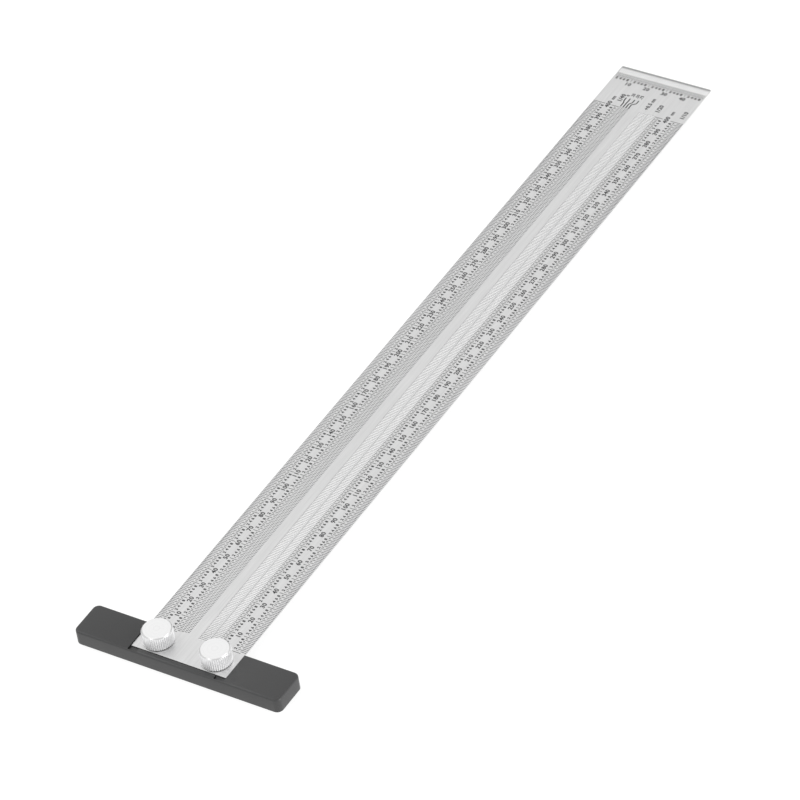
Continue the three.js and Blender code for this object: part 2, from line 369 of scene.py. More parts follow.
def blade_steel():
    """Stainless sheet with fine grain along the blade and faint handling marks."""
    material, tree, shader = new_material("blade_brushed_steel")
    shader.inputs["Metallic"].default_value = 1.0
    where = object_coordinates(tree)
    grain = noise(tree, where, 5200, detail=3, stretch=(1, 90, 1))
    streaks = noise(tree, where, 700, detail=2, stretch=(1, 60, 1))
    clouds = noise(tree, where, 22, detail=3)
    tone = graded(tree, grain, 0.3, 0.7, (0.655, 0.655, 0.655), (0.76, 0.76, 0.76))
    tone = graded(tree, streaks, 0.45, 0.75, tone, (0.82, 0.82, 0.82), share=0.35)
    tone = graded(tree, clouds, 0.4, 0.7, tone, (0.62, 0.62, 0.62), share=0.2)
    tree.links.new(tone, shader.inputs["Base Color"])
    matt = span(tree, grain, 0.3, 0.7, 0.34, 0.44)
    matt = maths(tree, "ADD", matt, span(tree, clouds, 0.3, 0.7, -0.03, 0.06))
    tree.links.new(matt, shader.inputs["Roughness"])
    low = bump(tree, shader, grain, 0.004 * MM, 0.5)
    bump(tree, shader, streaks, 0.006 * MM, 0.4, below=low)
    return material


def slot_wall(name, tint, rim_depth):
    """Matt wall through the sheet, in a slot or at the blade's end, dark along its upper rim. Its tint
    is painted light or shade for each kind of wall.
    """
    material, tree, shader = new_material(name)
    shader.inputs["Metallic"].default_value = 0.2
    where = object_coordinates(tree)
    pits = noise(tree, where, 5000, detail=2)
    light = tuple(min(1.0, channel * 1.05) for channel in tint)
    tone = graded(tree, pits, 0.3, 0.7, tint, light)
    split = add_node(tree, "ShaderNodeSeparateXYZ")
    tree.links.new(where, split.inputs[0])
    rim = span(tree, split.outputs["Z"], BLADE_TOP - rim_depth, BLADE_TOP - 0.8 * rim_depth, 0, 1)
    tree.links.new(mix_colour(tree, rim, tone, (0.05, 0.05, 0.052)), shader.inputs["Base Color"])
    tree.links.new(span(tree, pits, 0.3, 0.7, 0.5, 0.7), shader.inputs["Roughness"])
    bump(tree, shader, pits, 0.004 * MM, 0.4)
    return material


def scale_black():
    """Blackened etching: dark, slightly uneven and a little worn."""
    material, tree, shader = new_material("scale_etched_black")
    where = object_coordinates(tree)
    fleck = noise(tree, where, 5000, detail=2)
    patch = noise(tree, where, 90, detail=2)
    tone = graded(tree, fleck, 0.35, 0.7, (0.008, 0.008, 0.009), (0.026, 0.026, 0.028))
    tone = graded(tree, patch, 0.5, 0.75, tone, (0.06, 0.06, 0.062), share=0.3)
    tree.links.new(tone, shader.inputs["Base Color"])
    tree.links.new(span(tree, fleck, 0.3, 0.7, 0.5, 0.7), shader.inputs["Roughness"])
    bump(tree, shader, fleck, 0.004 * MM, 0.4)
    return material


def knob_aluminium(name, shade):
    """Turned aluminium with the fine rings left by the tool; shade is its brightness, and a shade
    below 1 is painted shade.
    """
    material, tree, shader = new_material(name)
    shader.inputs["Metallic"].default_value = 1.0
    where = object_coordinates(tree)
    across = add_node(tree, "ShaderNodeCombineXYZ")
    tree.links.new(axis_distance(tree, where), across.inputs["X"])
    rings = noise(tree, across.outputs["Vector"], 6500, detail=2)
    broad = noise(tree, across.outputs["Vector"], 1100, detail=2)
    grain = noise(tree, where, 3800, detail=3)
    dark, light, band, fleck = ((shade * level,) * 3 for level in (0.86, 0.93, 0.80, 0.78))
    tone = graded(tree, rings, 0.3, 0.7, dark, light)
    tone = graded(tree, broad, 0.45, 0.7, tone, band, share=0.5)
    tone = graded(tree, grain, 0.5, 0.75, tone, fleck, share=0.2)
    tree.links.new(tone, shader.inputs["Base Color"])
    matt = span(tree, broad, 0.3, 0.7, 0.32, 0.40)
    matt = maths(tree, "ADD", matt, span(tree, grain, 0.3, 0.7, -0.02, 0.06))
    tree.links.new(matt, shader.inputs["Roughness"])
    low = bump(tree, shader, rings, 0.006 * MM, 0.5)
    bump(tree, shader, grain, 0.004 * MM, 0.3, below=low)
    return material


def knurl_aluminium(crest):
    """Knurled aluminium: satin, bright on the crests and darker down in the grooves as painted shade.
    """
    material, tree, shader = new_material("knob_knurled_aluminium")
    where = object_coordinates(tree)
    grain = noise(tree, where, 4200, detail=3)
    patches = noise(tree, where, 420, detail=2)
    tone = graded(tree, grain, 0.3, 0.7, (0.90, 0.90, 0.905), (0.97, 0.97, 0.975))
    tone = graded(tree, patches, 0.5, 0.8, tone, (0.78, 0.78, 0.785), share=0.3)
    unshaded_crest = crest - KNURL_UNSHADED_CREST
    # Painted shade: the colour darkens from the crests down to the grooves' roots.
    groove = span(tree, axis_distance(tree, where), crest - KNURL_DEPTH, unshaded_crest, 0.6, 0)
    tree.links.new(mix_colour(tree, groove, tone, (0.58, 0.58, 0.59)), shader.inputs["Base Color"])
    shader.inputs["Metallic"].default_value = 0.45
    tree.links.new(span(tree, patches, 0.3, 0.7, 0.38, 0.54), shader.inputs["Roughness"])
    bump(tree, shader, grain, 0.006 * MM, 0.5)
    return material


def zinc_steel(name, tint):
    """Zinc-plated steel with a faint mottled bloom."""
    material, tree, shader = new_material(name)
    shader.inputs["Metallic"].default_value = 1.0
    where = object_coordinates(tree)
    bloom = noise(tree, where, 900, detail=3)
    grain = noise(tree, where, 6000, detail=2)
    light = tuple(min(1.0, channel * 1.18) for channel in tint)
    tree.links.new(graded(tree, bloom, 0.35, 0.65, tint, light), shader.inputs["Base Color"])
    tree.links.new(span(tree, bloom, 0.3, 0.7, 0.26, 0.42), shader.inputs["Roughness"])
    bump(tree, shader, grain, 0.003 * MM, 0.4)
    return material


def insert_brass():
    """Machined brass, a little dulled."""
    material, tree, shader = new_material("insert_machined_brass")
    shader.inputs["Metallic"].default_value = 1.0
    where = object_coordinates(tree)
    dull = noise(tree, where, 700, detail=3)
    lines = noise(tree, where, 5200, detail=2, stretch=(6, 6, 1))
    tone = graded(tree, dull, 0.35, 0.7, (0.80, 0.62, 0.30), (0.56, 0.42, 0.19))
    tree.links.new(tone, shader.inputs["Base Color"])
    tree.links.new(span(tree, dull, 0.3, 0.7, 0.24, 0.45), shader.inputs["Roughness"])
    bump(tree, shader, lines, 0.004 * MM, 0.5)
    return material


def floor_paper():
    """Pale matt table, lit a little from below as a product table is."""
    material, tree, shader = new_material("floor_paper")
    where = object_coordinates(tree)
    fibre = noise(tree, where, 900, detail=3)
    tone = graded(tree, fibre, 0.4, 0.6, (0.31, 0.31, 0.31), (0.33, 0.33, 0.33))
    tree.links.new(tone, shader.inputs["Base Color"])
    shader.inputs["Emission Color"].default_value = (1, 1, 1, 1)
    shader.inputs["Emission Strength"].default_value = FLOOR_GLOW
    shader.inputs["Roughness"].default_value = 0.9
    shader.inputs["Specular IOR Level"].default_value = 0.1
    return material


# ---------------------------------------------------------------- mesh helpers

def make_object(name, verts, faces, material, origin=(0, 0, 0)):
    mesh = bpy.data.meshes.new(name)
    mesh.from_pydata(verts, [], faces)
    mesh.validate()
    mesh.materials.append(material)
    piece = bpy.data.objects.new(name, mesh)
    piece.location = origin
    bpy.context.scene.collection.objects.link(piece)
    return piece


def smooth_by_angle(piece, degrees):
    """Smooth shading with sharp edges where two faces meet at more than the angle."""
    mesh = piece.data
    editor = bmesh.new()
    editor.from_mesh(mesh)
    for face in editor.faces:
        face.smooth = True
    for edge in editor.edges:
        edge.smooth = len(edge.link_faces) == 2 and edge.calc_face_angle(0) < math.radians(degrees)
    editor.to_mesh(mesh)
    editor.free()


def ring_faces(low, high, samples):
    """The faces between two rings of vertices, from each ring's first vertex."""
    faces = []
    for step in range(samples):
        after = (step + 1) % samples
        faces.append((low + step, low + after, high + after, high + step))
    return faces


def turned(name, rings, samples, material, origin, radius_at):
    """A solid about +Z from (radius, height) rings that start and end on the axis, in metres.
    radius_at(radius, height, angle) gives a ring's true radius from angle to angle."""
    verts, faces = [], []
    inner = rings[1:-1]
    for radius, height in inner:
        for step in range(samples):
            angle = TURN * step / samples
            here = radius_at(radius, height, angle)
            verts.append((here * math.cos(angle), here * math.sin(angle), height))
    for row in range(len(inner) - 1):
        faces.extend(ring_faces(row * samples, (row + 1) * samples, samples))
    for (_, height), row, flip in ((rings[0], 0, True), (rings[-1], len(inner) - 1, False)):
        centre = len(verts)
        verts.append((0, 0, height))
        for step in range(samples):
            after = (step + 1) % samples
            pair = (row * samples + step, row * samples + after)
            faces.append((centre, *(reversed(pair) if flip else pair)))
    return make_object(name, verts, faces, material, origin)


def ring_mesh(name, profile, samples, material, origin):
    """A ring about +Z from a closed (radius, height) profile, in metres."""
    verts, faces = [], []
    for radius, height in profile:
        for step in range(samples):
            angle = TURN * step / samples
            verts.append((radius * math.cos(angle), radius * math.sin(angle), height))
    for row in range(len(profile)):
        above = (row + 1) % len(profile)
        faces.extend(ring_faces(row * samples, above * samples, samples))
    return make_object(name, verts, faces, material, origin)


def arc(centre, radius, start, end, steps):
    """Points of an arc in a plane, from the start angle to the end angle in degrees."""
    points = []
    for step in range(steps + 1):
        angle = math.radians(start + (end - start) * step / steps)
        points.append((centre[0] + radius * math.cos(angle), centre[1] + radius * math.sin(angle)))
    return points


def circle(centre, radius, sides):
    """Points of a whole circle, once each."""
    return arc(centre, radius, 0, 360 - 360 / sides, sides - 1)


# ---------------------------------------------------------------- blade

def blade_point(across, along):
    """A point of the blade's face, in metres, from millimetres across and along the scale."""
    return BLADE_LEFT + across * MM, along * MM


def rectangle(left, near, right, far):
    return [(left, near), (right, near), (right, far), (left, far)]


def short_slots():
    """Outlines of the outer slots and of the quarter-millimetre columns, in millimetres."""
    openings = []
    half = SLOT_WIDTH / 2
    fine = FINE_SLOT_WIDTH / 2
    for mark in range(1, SCALE_LENGTH + 1):
        for left, right in OUTER_SLOTS:
            openings.append(rectangle(left, mark - half, right, mark + half))
    for index, middle in enumerate(QUARTER_COLUMNS):
        left, right = middle - QUARTER_SLOT_LENGTH / 2, middle + QUARTER_SLOT_LENGTH / 2
        for mark in range(SCALE_LENGTH):
            along = mark + 1 + index * QUARTER_STEP
            openings.append(rectangle(left, along - fine, right, along + fine))
    return openings


def long_slots():
    """Outlines of the two bands of long slots and of the tip's slots, in millimetres."""
    openings = []
    half = LONG_SLOT_WIDTH / 2
    near, far = TIP_SLOTS
    for mark in range(1, int(BLADE_WIDTH_MM)):
        openings.append(rectangle(mark - TIP_SLOT_WIDTH / 2, near, mark + TIP_SLOT_WIDTH / 2, far))
    for left, right, shift in HALF_SLOTS:
        for mark in range(SCALE_LENGTH):
            along = mark + 1 - shift
            openings.append(rectangle(left, along - half, right, along + half))
    return openings


# Material slots of the blade's walls
FACE, SHORT_WALL, LONG_WALL, SEATED_END = range(4)


def blade_loops():
    """The sheet's outline and every opening in it, each with the finish of its wall."""
    loops = [rectangle(0, blade_low.y / MM, BLADE_WIDTH_MM, blade_high.y / MM)]
    for side in SIDES:
        axis = SCREW_AXIS[side]
        centre = ((axis.x - BLADE_LEFT) / MM, axis.y / MM)
        loops.append(circle(centre, SCREW_HOLE_RADIUS, SCREW_HOLE_SIDES))
    finishes = [FACE] * len(loops)
    for openings, finish in ((short_slots(), SHORT_WALL), (long_slots(), LONG_WALL)):
        loops.extend(openings)
        finishes.extend([finish] * len(openings))
    return loops, finishes


def steel_blade(material, short_wall_painted_shade, long_wall_painted_light, seated_end_painted_shade):
    """The blade as one closed sheet with every slot cut through it."""
    loops, finishes = blade_loops()
    flat, owners = [], []
    for loop in loops:
        owners.append(list(range(len(flat), len(flat) + len(loop))))
        flat.extend(Vector(point) for point in loop)
    points, _, triangles, point_from, _, face_from = delaunay_2d_cdt(flat, [], owners, 0, SAME_POINT)
    number = {}
    for index, sources in enumerate(point_from):
        for source in sources:
            number[source] = index
    count = len(points)
    verts = []
    for height in (BLADE_TOP, BLADE_BOTTOM):
        verts.extend((*blade_point(*point), height) for point in points)
    faces = []
    for triangle, sources in zip(triangles, face_from):
        if list(sources) == [0]:
            faces.append(tuple(triangle))
            faces.append(tuple(count + index for index in reversed(triangle)))
    painted = [FACE] * len(faces)
    for order, owned in enumerate(owners):
        ring = [number[index] for index in owned]
        for index, here in enumerate(ring):
            after = ring[(index + 1) % len(ring)]
            wall = (here, count + here, count + after, after)
            faces.append(wall if order == 0 else wall[::-1])
            short = (points[here] - points[after]).length < END_WALL
            finish = finishes[order]
            # Painted shade: the end seated in the head and the short end walls of the long slots get
            # the darker wall copies.
            if order == 0 and max(points[here].y, points[after].y) < 0:
                finish = SEATED_END
            elif finish == LONG_WALL and short:
                finish = SHORT_WALL
            painted.append(finish)
    blade = make_object("steel_blade", verts, faces, material)
    for wall_material in (short_wall_painted_shade, long_wall_painted_light, seated_end_painted_shade):
        blade.data.materials.append(wall_material)
    blade.data.polygons.foreach_set("material_index", painted)
    return blade


# ---------------------------------------------------------------- scale markings

def closed_rim(count):
    """The edges round an outline of so many points."""
    return [(index, (index + 1) % count) for index in range(count)]


def flat_mesh(shape):
    """Points, upward faces and rim edges of a flat mesh, its doubled points merged."""
    editor = bmesh.new()
    editor.from_mesh(shape)
    bmesh.ops.remove_doubles(editor, verts=editor.verts, dist=DOUBLED_POINT)
    for face in editor.faces:
        face.normal_update()
        if face.normal.z < 0:
            face.normal_flip()
    editor.verts.index_update()
    points = [(vert.co.x, vert.co.y) for vert in editor.verts]
    triangles = [tuple(vert.index for vert in face.verts) for face in editor.faces]
    rims = []
    for face in editor.faces:
        for loop in face.loops:
            if len(loop.edge.link_faces) == 1:
                rims.append((loop.vert.index, loop.link_loop_next.vert.index))
    editor.free()
    return points, triangles, rims


class Markings:
    """Thin black shapes on the blade's face, gathered into one mesh of closed prisms."""

    def __init__(self):
        self.verts = []
        self.faces = []
        self.glyphs = {}

    def add(self, points, triangles, rims):
        """points in millimetres on the face; triangles and rim edges index them."""
        start = len(self.verts)
        count = len(points)
        for height in (BLADE_TOP + MARK_HEIGHT, BLADE_TOP - MARK_DEPTH):
            self.verts.extend((*blade_point(*point), height) for point in points)
        for triangle in triangles:
            self.faces.append(tuple(start + index for index in triangle))
            self.faces.append(tuple(start + count + index for index in reversed(triangle)))
        for here, after in rims:
            low_here, low_after = start + count + here, start + count + after
            self.faces.append((start + here, low_here, low_after, start + after))

    def polygon(self, points):
        """A flat outline, in millimetres on the face."""
        count = len(points)
        self.add(points, [tuple(range(count))], closed_rim(count))

    def glyph(self, text, resolution, weight):
        """A word's flat shape from the built-in face, centred, its capitals one unit tall."""
        key = (text, resolution, weight)
        if key not in self.glyphs:
            curve = bpy.data.curves.new("glyph", "FONT")
            curve.body = text
            curve.resolution_u = resolution
            curve.offset = weight
            curve.space_character = LETTER_SPACING
            holder = bpy.data.objects.new("glyph", curve)
            bpy.context.scene.collection.objects.link(holder)
            bpy.context.view_layer.update()
            shape = holder.evaluated_get(bpy.context.evaluated_depsgraph_get()).to_mesh()
            points, triangles, rims = flat_mesh(shape)
            bpy.data.objects.remove(holder)
            bpy.data.curves.remove(curve)
            middle = (min(x for x, _ in points) + max(x for x, _ in points)) / 2
            scaled = []
            for x, y in points:
                scaled.append(((x - middle) / CAPITAL_HEIGHT, y / CAPITAL_HEIGHT - 0.5))
            self.glyphs[key] = (scaled, triangles, rims)
        return self.glyphs[key]

    def write(self, text, across, along, height, resolution=2, upright=False, weight=TEXT_WEIGHT,
              narrow=1.0):
        """Text centred on a point. It reads along the blade, or across it when upright.
        Only text that reads along the blade can be narrowed."""
        points, triangles, rims = self.glyph(text, resolution, weight)
        if upright:
            placed = [(across + x * height, along + y * height) for x, y in points]
        else:
            placed = [(across - y * height, along + x * height * narrow) for x, y in points]
        self.add(placed, triangles, rims)

    def stroke(self, path, width):
        """A line of constant width through the points of a path, as one polygon."""
        left, right = [], []
        for index, point in enumerate(path):
            before = Vector(path[max(index - 1, 0)])
            after = Vector(path[min(index + 1, len(path) - 1)])
            way = (after - before).normalized()
            normal = Vector((-way.y, way.x)) * width / 2
            left.append(tuple(Vector(point) + normal))
            right.append(tuple(Vector(point) - normal))
        outline = right + left[::-1]
        count = len(path)
        quads = []
        for index in range(count - 1):
            quads.append((index, index + 1, 2 * count - 2 - index, 2 * count - 1 - index))
        self.add(outline, quads, closed_rim(2 * count))


def tick(marks, row, mark):
    """One graduation of a tick row and the digit at its end."""
    half = TICK_WIDTH / 2
    digit = mark % 10
    if digit == 0:
        end = row.ten_end
    else:
        end = row.even_end if digit % 2 == 0 else row.odd_end
    left, right = sorted((row.start, end))
    marks.polygon(rectangle(left, mark - half, right, mark + half))
    if digit and digit % 2 == 0:
        marks.write(str(digit), row.even_digit, mark, DIGIT_HEIGHT, weight=DIGIT_WEIGHT)
    elif digit:
        marks.write(str(digit), row.odd_digit, mark, ODD_DIGIT_HEIGHT, resolution=1)


def long_scales(marks):
    """The two scales along the blade and the ticks along both of its edges."""
    right_edge = BLADE_WIDTH_MM - EDGE_MARGIN
    for mark in range(SCALE_LENGTH + 1):
        for row in TICK_ROWS:
            tick(marks, row, mark)
        if mark:
            near, far = mark - EDGE_TICK_WIDTH / 2, mark + EDGE_TICK_WIDTH / 2
            marks.polygon(rectangle(EDGE_MARGIN, near, EDGE_TICK, far))
            marks.polygon(rectangle(BLADE_WIDTH_MM - EDGE_TICK, near, right_edge, far))
    for mark in range(10, SCALE_LENGTH + 1, 10):
        for across in NUMBER_ROWS:
            marks.write(str(mark), across, mark, NUMBER_HEIGHT, resolution=3)


def tip_scale(marks):
    """The scale across the tip, which counts from the blade's left edge."""
    half = TICK_WIDTH / 2
    edge = TIP_EDGE_TICK_WIDTH / 2
    far = BLADE_TIP_MM - EDGE_MARGIN
    for mark in range(1, int(BLADE_WIDTH_MM)):
        digit = mark % 10
        text = str(digit)
        if digit == 0:
            end = TIP_TEN_TICK_END
        else:
            end = TIP_EVEN_TICK_END if digit % 2 == 0 else TIP_ODD_TICK_END
        marks.polygon(rectangle(mark - half, end, mark + half, TIP_TICK_START))
        marks.polygon(rectangle(mark - edge, TIP_EDGE_TICK_START, mark + edge, far))
        if digit and digit % 2 == 0:
            marks.write(text, mark, TIP_DIGIT_Y, TIP_DIGIT_HEIGHT, upright=True, weight=DIGIT_WEIGHT)
        elif digit:
            marks.write(text, mark, TIP_ODD_DIGIT_Y, ODD_DIGIT_HEIGHT, resolution=1, upright=True)
    for mark in range(10, int(BLADE_WIDTH_MM), 10):
        marks.write(str(mark), mark, TIP_NUMBER_Y, NUMBER_HEIGHT, resolution=3, upright=True)


def tip_notes(marks):
    """What each row of slots counts in, written just past the end of the long scales."""
    for across, along in UNIT_PLACES:
        marks.write("mm", across, along, UNIT_HEIGHT, narrow=UNIT_NARROWING)
    for text, across, along, height in (*RATIO_NOTES, HALF_NOTE):
        marks.write(text, across, along, height, weight=NOTE_WEIGHT)
    start, first_bend, second_bend, end = LEADER_BENDS
    for column, (text, across, along) in zip(QUARTER_COLUMNS, QUARTER_NOTES):
        path = [(column, start), (column, first_bend), (across, second_bend), (across, end)]
        marks.stroke(path, LEADER_WIDTH)
        marks.write(text, across, along, QUARTER_NOTE_HEIGHT, weight=NOTE_WEIGHT)


def scale_marks(material):
    """Everything printed on the blade, as one piece."""
    marks = Markings()
    long_scales(marks)
    tip_scale(marks)
    tip_notes(marks)
    return make_object("scale_marks", marks.verts, marks.faces, material)


# ---------------------------------------------------------------- head bar

def rounded_rectangle(low, high, radius, steps):
    """Counter-clockwise outline of a rectangle with round corners."""
    points = []
    corners = (
        (high[0] - radius, low[1] + radius, -90),
        (high[0] - radius, high[1] - radius, 0),
        (low[0] + radius, high[1] - radius, 90),
        (low[0] + radius, low[1] + radius, 180),
    )
    for x, y, start in corners:
        points.extend(arc((x, y), radius, start, start + 90, steps))
    return points


def stacked(name, layers, material):
    """A closed solid from outlines of equal length stacked upwards."""
    verts, faces = [], []
    count = len(layers[0][0])
    for outline, height in layers:
        verts.extend((x, y, height) for x, y in outline)
    for row in range(len(layers) - 1):
        faces.extend(ring_faces(row * count, (row + 1) * count, count))
    faces.append(tuple(reversed(range(count))))
    faces.append(tuple((len(layers) - 1) * count + step for step in range(count)))
    return make_object(name, verts, faces, material)


def cut(piece, tool):
    """Takes the tool's volume out of the piece and removes the tool."""
    bpy.context.view_layer.objects.active = piece
    modifier = piece.modifiers.new("cut", "BOOLEAN")
    modifier.operation = "DIFFERENCE"
    modifier.solver = "EXACT"
    modifier.object = tool
    bpy.ops.object.modifier_apply(modifier=modifier.name)
    bpy.data.objects.remove(tool)


def head_blank(material):
    """The bar before anything is cut into it: a rounded block with softened edges."""
    layers = []

    def layer(inset, height):
        low = (head_low.x + inset, head_low.y + inset)
        high = (head_high.x - inset, head_high.y - inset)
        outline = rounded_rectangle(low, high, HEAD_CORNER - inset, HEAD_CORNER_STEPS)
        layers.append((outline, height))

    for step in range(HEAD_FOOT_STEPS + 1):
        angle = math.radians(90 * step / HEAD_FOOT_STEPS)
        rise = HEAD_FOOT * (1 - math.cos(angle))
        layer(HEAD_FOOT * (1 - math.sin(angle)), head_low.z + rise)
    for step in range(HEAD_EDGE_STEPS + 1):
        angle = math.radians(90 * step / HEAD_EDGE_STEPS)
        drop = HEAD_EDGE * (1 - math.sin(angle))
        layer(HEAD_EDGE * (1 - math.cos(angle)), head_high.z - drop)
    return stacked("head_bar_body", layers, material)


def cut_seat(bar, half_width, front, material):
    """The blade's seat, open at the back, with a pocket past each of its front corners."""
    top = head_high.z + OVERSHOOT
    low, high = (-half_width, front), (half_width, head_high.y + OVERSHOOT)
    seat = rounded_rectangle(low, high, SEAT_CORNER, 3)
    cut(bar, stacked("seat_tool", [(seat, BLADE_BOTTOM), (seat, top)], material))
    for side in (-1, 1):
        left, right = sorted((side * half_width, side * (half_width - POCKET[0])))
        low, high = (left, front - POCKET[1]), (right, front + OVERSHOOT)
        pocket = rounded_rectangle(low, high, POCKET_CORNER, 4)
        cut(bar, stacked("pocket_tool", [(pocket, BLADE_BOTTOM), (pocket, top)], material))


def cut_insert_bores(bar, material):
    """The blind bores in the seat's floor that hold the brass inserts."""
    bottom = BLADE_BOTTOM - INSERT_BORE_DEPTH
    top = BLADE_BOTTOM + OVERSHOOT
    for side in SIDES:
        axis = SCREW_AXIS[side]
        ring = circle((axis.x, axis.y), INSERT_BORE_RADIUS, INSERT_BORE_SIDES)
        cut(bar, stacked("bore_tool", [(ring, bottom), (ring, top)], material))


def soften_edges(piece):
    """A narrow rounding on the sharp edges that the cuts left."""
    bpy.context.view_layer.objects.active = piece
    rounding = piece.modifiers.new("edges", "BEVEL")
    rounding.width = CUT_EDGE
    rounding.segments = CUT_EDGE_STEPS
    rounding.limit_method = "ANGLE"
    rounding.angle_limit = math.radians(40)
    bpy.ops.object.modifier_apply(modifier=rounding.name)


def paint_seat_walls(bar, half_width, front):
    """Gives the upright walls inside the seat and its pockets the recess material, whose darker colour
    is painted shade.
    """
    margin = 0.05 * MM
    back = head_high.y - 0.3 * MM
    for face in bar.data.polygons:
        across = abs(face.center.x) < half_width + margin
        along = front - margin < face.center.y < back
        if across and along and face.center.z > BLADE_BOTTOM and abs(face.normal.z) < 0.75:
            face.material_index = 1


def head_bar(material, recess):
    """The moulded bar with the blade's seat, the two pockets and the two bores cut into it."""
    half_width = -BLADE_LEFT + SEAT_SIDE_GAP
    front = blade_low.y - SEAT_END_GAP
    bar = head_blank(material)
    cut_seat(bar, half_width, front, material)
    cut_insert_bores(bar, material)
    soften_edges(bar)
    bar.data.materials.append(recess)
    paint_seat_walls(bar, half_width, front - POCKET[1])
    smooth_by_angle(bar, 35)
    return bar


# ---------------------------------------------------------------- thumbscrews

def screw_part(side, part):
    """The outer radius, the height and the foot of a part that stands on a screw's axis."""
    low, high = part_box(f"{side}_{part}")
    axis = SCREW_AXIS[side]
    return (high.x - low.x) / 2, high.z - low.z, Vector((axis.x, axis.y, low.z))


def knurl_groove(angle):
    """0 on the flattened crest of a tooth, 1 in the middle of the groove beside it."""
    part = (angle * KNURL_TEETH / TURN) % 1
    return min(1.0, max(0.0, KNURL_SLOPE * (1 - abs(2 * part - 1)) - KNURL_CREST))


def knob_rings(radius, height):
    """The knob's (radius, height) rings, from its blind bore round the outside to the top.
    Going up they make the foot's chamfer, the knurled side, the chamfer, its rounded lip and
    the flat top."""
    bore, depth = KNOB_BORE
    rings = [(0, depth), (bore, depth), (bore, KNOB_BORE_CHAMFER), (bore + KNOB_BORE_CHAMFER, 0)]
    rings.append((radius - KNOB_FOOT_CHAMFER - KNURL_DEPTH, 0))
    for step in range(KNOB_FOOT_STEPS + 1):
        rise = KNOB_FOOT_CHAMFER * step / KNOB_FOOT_STEPS
        rings.append((radius - KNOB_FOOT_CHAMFER + rise, KNOB_FOOT_RISE + rise))
    rings.append((radius, height / 2))
    for step in range(KNOB_CHAMFER_STEPS + 1):
        rise = (KNOB_CHAMFER - KNOB_LIP) * step / KNOB_CHAMFER_STEPS
        rings.append((radius - rise, height - KNOB_CHAMFER + rise))
    edge = radius - KNOB_CHAMFER + KNOB_LIP
    bend = math.radians(45)
    for step in range(1, KNOB_LIP_STEPS + 1):
        turn = math.sin(bend + bend * step / KNOB_LIP_STEPS) - math.sin(bend)
        level = height - KNOB_LIP + KNOB_LIP * step / KNOB_LIP_STEPS
        rings.append((edge - 1.5 * KNOB_LIP * turn, level))
    for share in (0.9, 0.6, 0.3, 0):
        rings.append(((edge - 2 * KNOB_LIP) * share, height))
    return rings


def paint_knob(knob, radius, height):
    """Second material on the knurl, third, the darker painted-shade copy, on the chamfer above it."""
    shoulder = height - KNOB_CHAMFER
    knurl_top = shoulder + KNURL_RUN_OUT
    knurl_root = radius - KNURL_DEPTH - KNURL_RUN_OUT
    for face in knob.data.polygons:
        out = math.hypot(face.center.x, face.center.y)
        level = face.center.z
        if out > knurl_root and KNURL_FOOT < level < knurl_top:
            face.material_index = 1
        elif shoulder < level < height - KNOB_LIP:
            face.material_index = 2


def thumb_knob(side, material, knurled_material, shaded_chamfer_material):
    """A round knob with a straight knurl, a plain chamfer and a blind bore for its stud."""
    radius, height, origin = screw_part(side, "thumb_knob")
    round_within = radius - KNURL_DEPTH - 0.3 * MM

    def radius_at(ring, level, angle):
        if ring <= round_within or not 0 < level < height:
            return ring
        return min(ring, radius - KNURL_DEPTH * knurl_groove(angle))

    samples = KNURL_TEETH * KNURL_SAMPLES
    rings = knob_rings(radius, height)
    knob = turned(f"{side}_knurled_knob", rings, samples, material, origin, radius_at)
    knob.data.materials.append(knurled_material)
    knob.data.materials.append(shaded_chamfer_material)
    paint_knob(knob, radius, height)
    smooth_by_angle(knob, 28)
    return knob


def thread_radius(turns):
    """The thread's radius at a point so many pitches along its helix."""
    part = turns % 1
    rise = min(1.0, max(0.0, (abs(2 * part - 1) - FLANK_START) / FLANK_WIDTH))
    return STUD_ROOT + (STUD_CREST - STUD_ROOT) * rise


def threaded_stud(side, material):
    """The screw: a thread below the blade's top and a plain shank pressed into the knob."""
    shank, height, origin = screw_part(side, "threaded_stud")
    thread_length = BLADE_TOP - origin.z
    pitch_start = origin.z % THREAD_PITCH

    def radius_at(ring, level, angle):
        if level > thread_length:
            return ring
        return min(ring, thread_radius((level + pitch_start) / THREAD_PITCH - angle / TURN))

    tip = STUD_CREST - STUD_TIP_CHAMFER
    rings = [(0, 0), (tip, 0)]
    rows = int(thread_length / (THREAD_PITCH / THREAD_ROWS))
    for row in range(rows):
        level = thread_length * row / rows
        rings.append((min(STUD_CREST, tip + level), max(level, 0.01 * MM)))
    rings.append((STUD_ROOT, thread_length))
    rings.append((shank, thread_length + STUD_SHOULDER))
    rings.append((shank, height - STUD_TOP_CHAMFER))
    rings.append((shank - STUD_TOP_CHAMFER, height))
    rings.append((0, height))
    stud = turned(f"{side}_m4_stud", rings, STUD_SAMPLES, material, origin, radius_at)
    smooth_by_angle(stud, 40)
    return stud


def flat_washer(side, material):
    """A stamped washer with rounded edges."""
    radius, height, origin = screw_part(side, "washer")
    inner = WASHER_BORE_RADIUS + WASHER_EDGE
    outer = radius - WASHER_EDGE
    bottom = WASHER_EDGE
    top = height - WASHER_EDGE
    corners = ((outer, bottom, -90), (outer, top, 0), (inner, top, 90), (inner, bottom, 180))
    profile = []
    for across, level, start in corners:
        profile.extend(arc((across, level), WASHER_EDGE, start, start + 90, 3))
    washer = ring_mesh(f"{side}_flat_washer", profile, WASHER_SAMPLES, material, origin)
    smooth_by_angle(washer, 40)
    return washer


# ---------------------------------------------------------------- set

def add_floor(material):
    """A wide table under the head's underside."""
    half = FLOOR_HALF_WIDTH
    verts = [(x, y, 0) for x, y in rectangle(-half, -half, half, half)]
    x, y, _ = BLADE_MIDDLE
    floor = make_object("floor", verts, [(0, 1, 2, 3)], material, (x, y, head_low.z))


